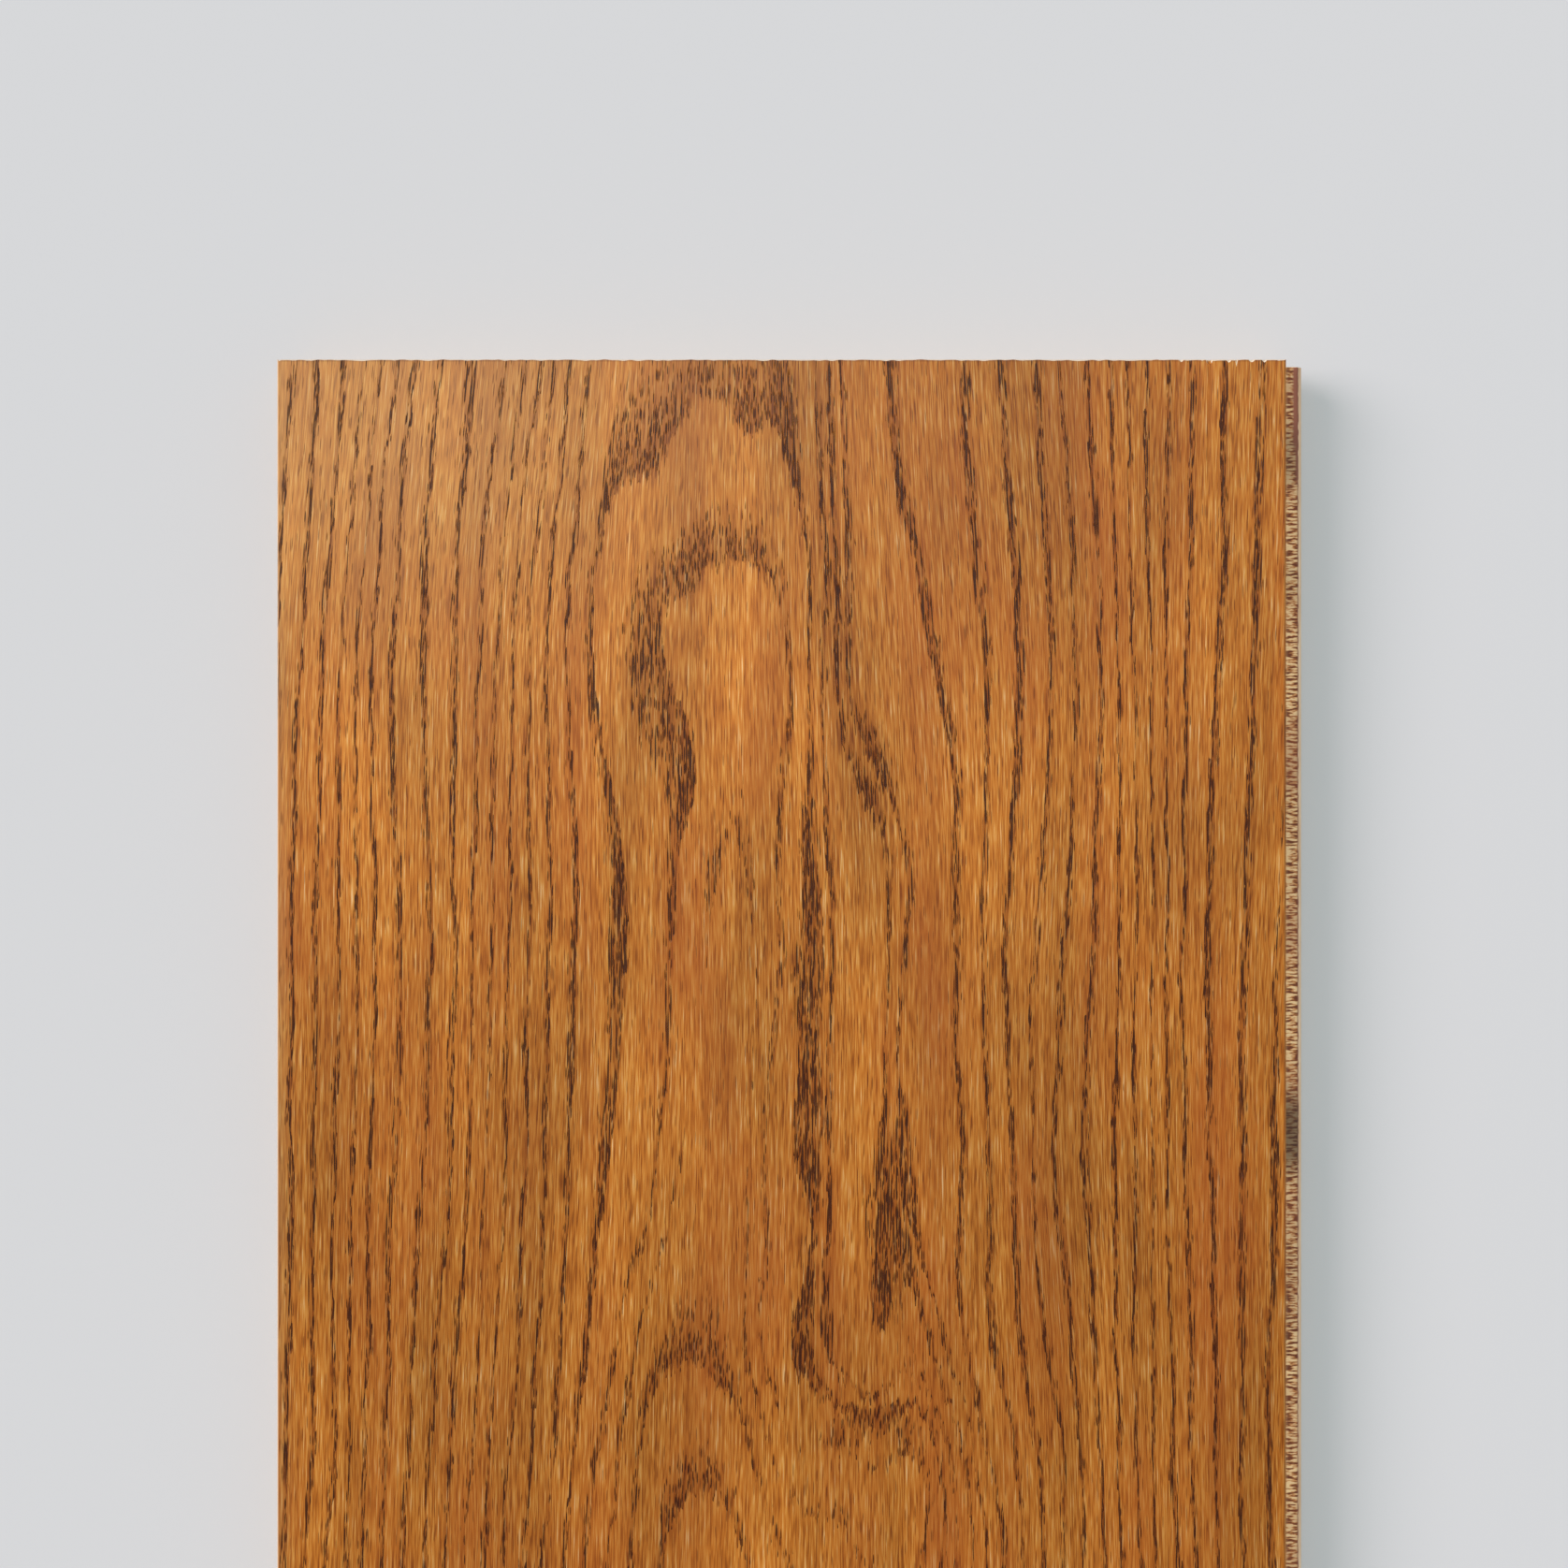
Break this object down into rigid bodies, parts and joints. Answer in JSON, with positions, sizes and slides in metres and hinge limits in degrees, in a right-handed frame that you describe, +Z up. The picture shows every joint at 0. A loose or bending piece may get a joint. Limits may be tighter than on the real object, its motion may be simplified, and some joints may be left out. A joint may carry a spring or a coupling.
{
  "type": "engineered oak floorboard",
  "caption": "Long floorboard of laminated wood: a stained, lacquered oak face on cross-laminated plies, with a tongue along one long side and a groove along the other.",
  "frame": {"origin": "centre of the underside, midway across from the groove side to the tip of the tongue and midway along", "axes": "+Z up out of the oak face, +Y along the board towards the sawn end that the picture shows, +X across the board towards the tongue"},
  "size_m": [0.194, 1.9, 0.015],
  "materials": {
    "stained_oak": "satin lacquer over a warm brown stain",
    "cross_ply": "bare, sawn and milled",
    "long_ply": "bare, sawn and milled"
  },
  "bodies": {
    "root": {"oak_wear_layer": "stained_oak", "ply_1_cross_grain": "cross_ply", "ply_2_long_grain": "long_ply", "ply_3_cross_grain": "cross_ply", "ply_4_long_grain": "long_ply", "ply_5_cross_grain": "cross_ply", "ply_6_long_grain": "long_ply", "ply_7_cross_grain": "cross_ply", "ply_8_long_grain": "long_ply"}
  },
  "joints": []
}
